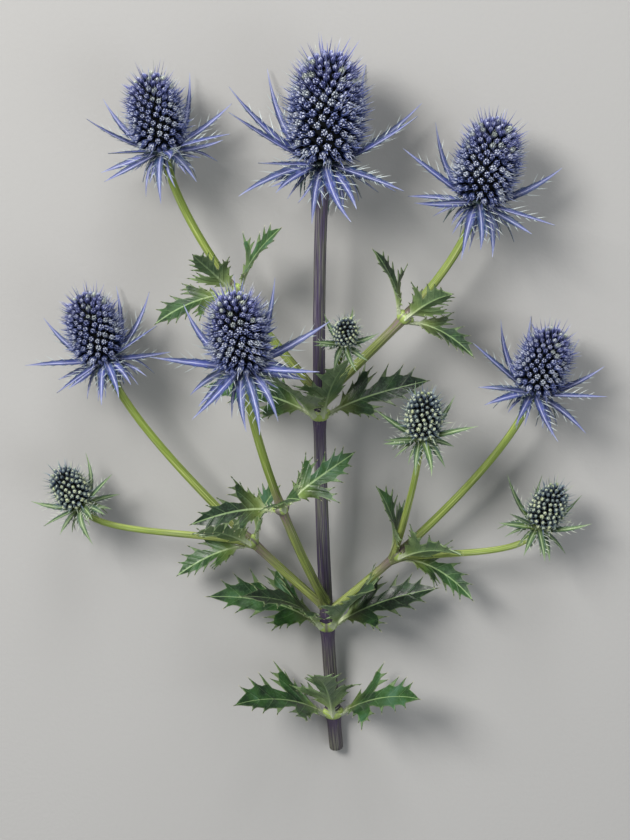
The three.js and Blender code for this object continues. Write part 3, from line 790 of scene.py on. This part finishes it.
def add_leaf(piece, line, phase):
    """A thin lobed blade with a groove over its midrib, a keel under it and spiny teeth."""
    length = line["length"]
    flat = leaf_warp(LEAF.flat, phase)
    a = flat[:, 0] * length
    s = flat[:, 1]
    wave = leaf_waves(LEAF.flat, phase, length)
    rib_width = lerp(0.66, 0.16, s)
    taper = np.maximum(0, 1 - s)
    groove = 0.1 * bell(a, rib_width) - 0.05 * bell(LEAF.distance * length, 0.3)
    keel = lerp(0.15, 0.85, taper) * bell(a, rib_width)
    top = place(line, s, a, wave + LEAF_HALF_THICKNESS - groove)
    under = place(line, s, a, wave - LEAF_HALF_THICKNESS - keel)
    count = len(flat)
    after = np.roll(LEAF.loop, -1)
    walls = np.stack([LEAF.loop, LEAF.loop + count, after + count, after], axis=-1)
    grain = columns(a, s * length, LEAF.inset * length)
    piece.add(np.concatenate([top, under]), [LEAF.faces, LEAF.faces[:, ::-1] + count, walls],
              tone=np.repeat([0.0, 1.0], count), pick=phase, vein=np.tile(LEAF.distance * length, 2),
              grain=np.tile(grain, (2, 1)))
    reach = LEAF_SPINE * length
    for tip, out in LEAF.spines:
        path = leaf_warp(tip + np.outer([-0.3, 0.15, 0.6, 1], out * reach / length), phase)
        rise = leaf_waves(np.array([tip]), phase, length)
        points = place(line, path[:, 1], path[:, 0] * length, rise)
        above = place(line, path[0, 1], path[0, 0] * length, rise + 1)[0] - points[0]
        spike(piece, points, [0.3, 0.2, 0.1, 0], [2, 2.3, 2.7, 3], up=above, flat=0.7, pick=phase,
              grain=(3, tip[1] * length, 9))


def add_collar(piece, whorl):
    """The swollen ring that the leaves of a whorl grow from, drawn out where each one stands."""
    angles = circle(COLLAR_SIDES)
    inner = stalk_radius(whorl["on"], whorl["along"])
    outer = collar_radius(whorl)
    profile = np.array([
        (inner - 0.4, -1.9), (inner + 0.25, -1.8), (outer - 0.35, -1), (outer - 0.02, 0), (outer, 0.9),
        (outer - 0.35, COLLAR_HALF), (inner + 0.3, COLLAR_HALF + 0.3), (inner - 0.4, 1.2),
    ])
    drawn = np.zeros_like(angles)
    nearest = np.full_like(angles, 180)
    for turn in whorl["turns"]:
        gap = (np.degrees(angles) - turn + 180) % 360 - 180
        drawn += bell(gap, 17)
        nearest = np.where(abs(gap) < abs(nearest), gap, nearest)
    upper = np.clip((profile[:, 1] + 1) / 2, 0, 1)
    radius = profile[:, :1] + 0.3 * upper[:, None] * drawn * (profile[:, :1] > inner)
    height = profile[:, 1:] + 0.45 * upper[:, None] * drawn
    points = polar(radius, angles, height)
    k = np.arange(COLLAR_SIDES)
    after = (k + 1) % COLLAR_SIDES
    rows = len(profile)
    ring = (np.arange(rows) * COLLAR_SIDES)[:, None]
    above = np.roll(ring, -1, axis=0)
    quads = np.stack([ring + k, ring + after, above + after, above + k], axis=-1).reshape(-1, 4)
    # vein holds how many degrees away the nearest leaf is, past COLLAR_VEIN
    vein = COLLAR_VEIN + np.tile(abs(nearest), rows)
    across = np.tile(np.radians(nearest) * outer, rows)
    piece.add(points, [quads], tone=1.0, vein=vein, grain=columns(across, 5, 9))


def make_whorl(name, whorl, seed, finish):
    piece = Piece()
    add_collar(piece, whorl)
    for k, turn in enumerate(whorl["turns"]):
        add_leaf(piece, leaf_line(whorl, turn, k, seed), float(draw(seed * 3 + k * 0.37)))
    point, axis = bezier(CURVES[whorl["on"]], whorl["along"])
    piece.move(point, frames(axis))
    piece.build(f"whorl_{name}_leaves", [f"whorl_{name}"], finish)


# ---- materials
BUMP_STRENGTH = 0.8


def colour(red, green, blue):
    """A colour given as on a screen, 0 to 255, in Blender's linear values."""
    shares = np.array([red, green, blue]) / 255
    linear = np.where(shares > 0.04045, ((shares + 0.055) / 1.055) ** 2.4, shares / 12.92)
    return (*(float(x) for x in linear), 1)


class Finish:
    """A Principled material whose colour, roughness and bump are made by nodes. Its colours are
    given as on a screen, 0 to 255."""

    def __init__(self, name, specular):
        self.material = bpy.data.materials.new(name)
        self.material.use_nodes = True
        self.tree = self.material.node_tree
        self.shader = self.tree.nodes["Principled BSDF"]
        self.shader.inputs["Specular IOR Level"].default_value = specular

    def put(self, socket, value):
        """Links a node's output to the socket, or sets the socket's own value."""
        if isinstance(value, bpy.types.NodeSocket):
            self.tree.links.new(value, socket)
        else:
            socket.default_value = colour(*value) if socket.type == "RGBA" else value

    def node(self, kind, *values, **settings):
        """A new node with these settings, and with the values in its first inputs."""
        node = self.tree.nodes.new("ShaderNode" + kind)
        for name, setting in settings.items():
            setattr(node, name, setting)
        for socket, value in zip(node.inputs, values):
            self.put(socket, value)
        return node

    def value(self, name):
        node = self.node("Attribute", attribute_name=name)
        return node.outputs["Vector" if name == "grain" else "Fac"]

    def places(self):
        return self.node("TexCoord").outputs["Object"]

    def parts(self, vector):
        return self.node("SeparateXYZ", vector).outputs[:3]

    def math(self, operation, *values):
        return self.node("Math", *values, operation=operation).outputs[0]

    def times(self, first, *others):
        for other in others:
            first = self.math("MULTIPLY", first, other)
        return first

    def stretch(self, vector, scale):
        return self.node("VectorMath", vector, scale, operation="MULTIPLY").outputs[0]

    def noise(self, vector, scale, detail=3.0, roughness=0.55):
        node = self.node("TexNoise", vector)
        for name, value in (("Scale", scale), ("Detail", detail), ("Roughness", roughness)):
            node.inputs[name].default_value = value
        return node.outputs["Fac"]

    def spread(self, value, low, high, first=0.0, last=1.0):
        """value, taken from low to high, as a share from first to last."""
        node = self.node("MapRange", value, low, high, first, last, interpolation_type="SMOOTHSTEP")
        return node.outputs[0]

    def ramp(self, share, *stops):
        node = self.node("ValToRGB", share)
        elements = node.color_ramp.elements
        while len(elements) < len(stops):
            elements.new(0.5)
        for element, (position, shade) in zip(elements, stops):
            element.position = position
            element.color = colour(*shade)
        return node.outputs["Color"]

    def mix(self, share, first, second):
        node = self.node("Mix", share, data_type="RGBA")
        self.put(node.inputs[6], first)
        self.put(node.inputs[7], second)
        return node.outputs[2]

    def paint(self, shade, *coats):
        """The shade under coats of colour. Each coat gives the value that it follows, where that has
        none of the coat and where it has the most, how much that is, and the coat's colour."""
        for value, none_at, most_at, most, tint in coats:
            shade = self.mix(self.spread(value, none_at, most_at, 0, most), shade, tint)
        return shade

    def finish(self, shade, roughness, height, depth):
        bump = self.node("Bump")
        bump.inputs["Distance"].default_value = depth
        bump.inputs["Strength"].default_value = BUMP_STRENGTH
        self.put(bump.inputs["Height"], height)
        for name, value in (("Base Color", shade), ("Roughness", roughness), ("Normal", bump.outputs[0])):
            self.put(self.shader.inputs[name], value)
        return self.material


def head_finish(name, dark, deep, middle, light, pale, fresh, lilac):
    """Florets: near black at the foot, painted shade for the gaps between them, then blue, with pale
    points; some are still fresh, and those of the crown are more lilac."""
    f = Finish(name, specular=0.35)
    pick, tone, share = f.value("pick"), f.value("tone"), f.parts(f.value("grain"))[0]
    speckle = f.noise(f.places(), 900)
    level = f.math("ADD", tone, f.spread(pick, 0, 1, -0.1, 0.1))
    level = f.math("ADD", level, f.spread(speckle, 0.3, 0.7, -0.08, 0.08))
    # The near-black dark at the floret feet and the core is painted shade for the gaps between florets;
    # the dark blue deep above it is partly painted shade too.
    shade = f.ramp(level, (0, dark), (0.2, deep), (0.5, middle), (0.8, light), (1, pale))
    body = f.times(f.spread(level, 0.3, 0.7), f.spread(level, 1, 0.85, 0.35, 1))
    shade = f.mix(f.times(f.spread(share, 0.5, 0.95, 0.05, 0.45), body), shade, lilac)
    green = f.times(f.spread(pick, 0.7, 0.95, 0, 0.5), f.spread(share, 0.5, 0.95, 0.35, 1),
                    f.spread(tone, 0.3, 0.8))
    shade = f.mix(green, shade, fresh)
    roughness = f.math("MAXIMUM", f.spread(speckle, 0.3, 0.7, 0.42, 0.62),
                       f.spread(level, 0.35, 0.1, 0, 0.95))
    return f.finish(shade, roughness, speckle, 0.00015)


def bract_finish(name, foot, blade, end, band, rib, thorn, teal, underside):
    """Bracts: fine lengthwise lines, a pale midrib in a softer band that is partly painted highlight,
    pale spines, and a duller underside."""
    f = Finish(name, specular=0.5)
    tone, pick, along, grain = map(f.value, ("tone", "pick", "vein", "grain"))
    across, _, width = f.parts(grain)
    off = f.math("ABSOLUTE", across)
    lines = f.noise(f.stretch(grain, (7, 0.25, 0)), 1.0, 4, 0.6)
    clouds = f.noise(f.places(), 260, 2)
    shade = f.paint(
        f.ramp(along, (0, foot), (0.35, blade), (0.84, end), (1, thorn)),
        (pick, 0.45, 0.05, 0.85, end),
        (pick, 0.6, 0.95, 0.7, teal),
        (clouds, 0.42, 0.62, 0.75, end),
        (lines, 0.46, 0.72, 0.5, rib),
        (f.math("DIVIDE", off, width), 0.45, 1, 0.7, teal),
        # the softer band round the midrib is partly the bract's paler middle and partly painted highlight
        (off, 0.85, 0.2, 0.45, band))
    middle = f.times(f.spread(off, 0.27, 0.1, 0, 0.85), f.spread(along, 0.55, 0.95, 1, 0.4),
                     f.spread(lines, 0.34, 0.58, 0.35, 1))
    below = f.paint(underside, (lines, 0.3, 0.7, 0.35, end))
    shade = f.paint(f.mix(middle, shade, rib), (tone, 0.25, 0.5, 0.9, thorn), (tone, 0.8, 0.95, 1, below))
    roughness = f.spread(clouds, 0.3, 0.7, 0.36, 0.55)
    return f.finish(shade, roughness, f.math("ADD", lines, f.times(middle, 0.6)), 0.0002)


def leaf_finish():
    """Leaves: glossy dark green with a pale midrib, veins and rim. Their spines are dark at the foot
    and pale at the point, their own feet are whitish, and the collars are yellow-green, with violet
    between the leaves."""
    f = Finish("leaf_blade", specular=0.55)
    tone, pick, vein, grain = map(f.value, ("tone", "pick", "vein", "grain"))
    across, along, inset = f.parts(grain)
    clouds = f.noise(f.places(), 130, 4)
    net = f.noise(f.places(), 1300, 2, 0.7)
    blade = f.ramp(f.math("ADD", clouds, f.spread(pick, 0, 1, -0.16, 0.16)), (0.25, (8, 26, 13)),
                   (0.45, (22, 50, 21)), (0.6, (44, 82, 31)), (0.8, (66, 104, 78)))
    blade = f.paint(blade, (net, 0.45, 0.75, 0.3, (92, 126, 92)))
    under = f.paint((78, 104, 70), (clouds, 0.35, 0.65, 1, (118, 140, 96)),
                    (net, 0.4, 0.7, 0.5, (64, 88, 58)))
    rib = f.math("DIVIDE", f.math("ABSOLUTE", across), f.spread(along, 0, 42, 0.66, 0.16))
    pale = f.paint((138, 164, 112), (along, 15, 0, 0.9, (206, 216, 184)))
    spine = f.ramp(f.spread(tone, 2, 3), (0, (40, 66, 32)), (0.5, (112, 124, 76)), (1, (208, 202, 170)))
    shade = f.paint(
        blade,
        (tone, 0.4, 0.9, 1, under),
        (vein, 0.26, 0.06, 0.26, (124, 152, 104)),
        (rib, 0.85, 0.35, 0.85, pale),
        (along, 15, 0, 0.63, (152, 172, 84)),
        (inset, 0.24, 0.02, 0.36, (150, 170, 118)),
        (tone, 1.6, 2, 1, spine),
        (along, 7, 2, 0.6, (206, 212, 188)),
        (vein, 15, COLLAR_VEIN, 0.65, (166, 190, 84)),
        (vein, 42, 60, 0.85, (94, 78, 96)))
    roughness = f.spread(clouds, 0.3, 0.7, 0.34, 0.52)
    height = f.math("ADD", f.times(net, 0.45), f.spread(vein, 0.5, 0, 0, 0.8))
    return f.finish(shade, roughness, height, 0.00025)


def stalk_finish(name, low, high, streak, groove, joint):
    """Stalks: lengthwise streaks of two tints, dark lines that are painted shade in fine grooves,
    and a tint of their own at the joints.
    """
    f = Finish(name, specular=0.45)
    along, pick, near, grain = map(f.value, ("tone", "pick", "vein", "grain"))
    streaks = f.noise(f.stretch(grain, (1.3, 1.3, 0.035)), 1.0, 4, 0.6)
    lines = f.noise(f.stretch(grain, (4, 4, 0.05)), 1.0, 3, 0.6)
    clouds = f.noise(f.places(), 60, 3)
    shade = f.paint(
        f.ramp(f.math("ADD", along, f.spread(clouds, 0.3, 0.7, -0.2, 0.2)), (0, low), (0.5, high)),
        (streaks, 0.46, 0.6, 0.85, streak),
        # painted shade: dark lines where fine grooves between the ribs would be in shade
        (lines, 0.52, 0.36, 0.7, groove),
        (lines, 0.54, 0.72, 0.5, (196, 200, 168)))
    shade = f.mix(f.times(f.spread(near, 14, 1), f.spread(streaks, 0.36, 0.56, 0.25, 0.9)), shade, joint)
    pith = f.ramp(along, (0.3, (214, 214, 184)), (0.6, (196, 204, 152)), (0.76, (134, 148, 84)),
                  (0.9, (170, 182, 118)), (1, (92, 86, 70)))
    bundles = f.noise(f.places(), 2400, 1)
    pith = f.paint(pith, (bundles, 0.54, 0.7, 0.55, (120, 132, 74)))
    shade = f.paint(shade, (pick, 0.5, 0.9, 1, pith))
    return f.finish(shade, f.spread(lines, 0.3, 0.7, 0.4, 0.58), f.math("ADD", lines, streaks), 0.0002)


def floor_finish():
    f = Finish("floor_paper", specular=0.25)
    clouds = f.noise(f.places(), 3, 2)
    fibres = f.noise(f.places(), 700, 3)
    shade = f.mix(clouds, (174, 173, 171), (181, 180, 178))
    return f.finish(shade, f.spread(fibres, 0.3, 0.7, 0.75, 0.9), fibres, 0.00008)


# ---- the plant
# A stalk's fourth colour, its groove, is painted shade in fine grooves.
MAIN_STALK = stalk_finish("stalk_purple", (76, 72, 66), (80, 68, 98), (102, 104, 92), (36, 30, 42),
                          (68, 52, 84))
BRANCH = stalk_finish("stalk_green", (112, 116, 78), (134, 154, 66), (170, 184, 98), (84, 102, 44),
                      (122, 96, 110))
# The first two colours of each head, near black and dark blue, are painted shade at the floret feet and
# the core, which show in the gaps between florets.
HEAD = head_finish("head_blue", (3, 8, 11), (12, 24, 38), (37, 50, 92), (97, 110, 165),
                   (200, 206, 224), (176, 186, 120), (124, 124, 184))
YOUNG_HEAD = head_finish("head_young", (7, 13, 9), (26, 40, 38), (68, 82, 110), (132, 150, 146),
                         (206, 214, 182), (176, 190, 96), (124, 136, 158))
# A ruff's fourth colour, its band round the midrib, is partly painted highlight.
RUFF = bract_finish("bract_blue", (60, 80, 128), (66, 78, 156), (24, 36, 76), (112, 122, 196),
                    (212, 216, 242), (188, 198, 196), (28, 58, 86), (84, 104, 98))
YOUNG_RUFF = bract_finish("bract_young", (116, 138, 46), (72, 102, 42), (44, 72, 48), (112, 146, 78),
                          (198, 214, 176), (208, 214, 200), (46, 76, 76), (98, 114, 52))
LEAF_BLADE = leaf_finish()

for number, (head_name, head) in enumerate(HEADS.items()):
    young = head_name in YOUNG
    make_head(head_name, head, YOUNG_HEAD if young else HEAD)
    make_ruff(head_name, head, number + 1, YOUNG_RUFF if young else RUFF)
    if "start" in head:
        make_stalk(head_name, f"branch_{head_name}", BRANCH)
    else:
        make_stalk(head_name, "main_stem", MAIN_STALK)

for number, (whorl_name, whorl) in enumerate(WHORLS.items()):
    make_whorl(whorl_name, whorl, number + 1, LEAF_BLADE)


# ---- floor, light and camera
FLOOR_HALF = 3.0  # metres, as all that follows
# Each light's place, what it points at, its size, power and tint.
LIGHTS = {
    "key": ((-0.75, 0.75, 1.0), (0, 0, 0.02), 0.6, 23, (1, 0.98, 0.95)),
    "fill": ((0.9, -0.3, 0.8), (0, 0, 0.02), 0.9, 3, (0.93, 0.96, 1)),
    "top": ((0.1, 1.2, 0.5), (0, 0.02, 0.03), 0.5, 6, (1, 1, 1)),
}
SKY_TINT, SKY_STRENGTH = (0.9, 0.95, 1, 1), 0.28
CAMERA_TILT = 15  # degrees from straight down
CAMERA_TARGET = (0, 0.004, 0.03)
VIEW_HEIGHT = 0.292  # how much the picture's height spans at the target
LENS, SENSOR = 100, 36  # millimetres


def make_floor():
    mesh = bpy.data.meshes.new("floor")
    corners = [(x * FLOOR_HALF, y * FLOOR_HALF, 0) for x, y in ((-1, -1), (1, -1), (1, 1), (-1, 1))]
    mesh.from_pydata(corners, [], [(0, 1, 2, 3)])
    mesh.materials.append(floor_finish())
    floor = add_object("floor", mesh)


def make_light(name, place_at, target, size, power, tint):
    lamp = bpy.data.lights.new(name, "AREA")
    lamp.shape = "DISK"
    lamp.size = size
    lamp.energy = power
    lamp.color = tint
    light = add_object(name, lamp)
    light.location = place_at
    light.rotation_euler = (Vector(target) - Vector(place_at)).to_track_quat("-Z", "Y").to_euler()


def make_camera():
    """Looks down on the stem, from a little towards its top head, with +Y up in the picture."""
    tilt = math.radians(CAMERA_TILT)
    back = Vector((0, math.sin(tilt), math.cos(tilt)))
    up = Vector((0, math.cos(tilt), -math.sin(tilt)))
    data = bpy.data.cameras.new("camera")
    data.lens = LENS
    data.sensor_width = SENSOR
    camera = add_object("camera", data)
    eye = Vector(CAMERA_TARGET) + back * VIEW_HEIGHT * LENS / SENSOR
    axes = Matrix((Vector((1, 0, 0)), up, back)).transposed().to_4x4()
    camera.matrix_world = Matrix.Translation(eye) @ axes
    bpy.context.scene.camera = camera


def make_world():
    world = bpy.data.worlds.new("studio")
    world.use_nodes = True
    sky = world.node_tree.nodes["Background"]
    sky.inputs["Color"].default_value = SKY_TINT
    sky.inputs["Strength"].default_value = SKY_STRENGTH
    bpy.context.scene.world = world


make_floor()
for light_name, light in LIGHTS.items():
    make_light(light_name, *light)
make_camera()
make_world()
bpy.context.scene.view_settings.view_transform = "Standard"
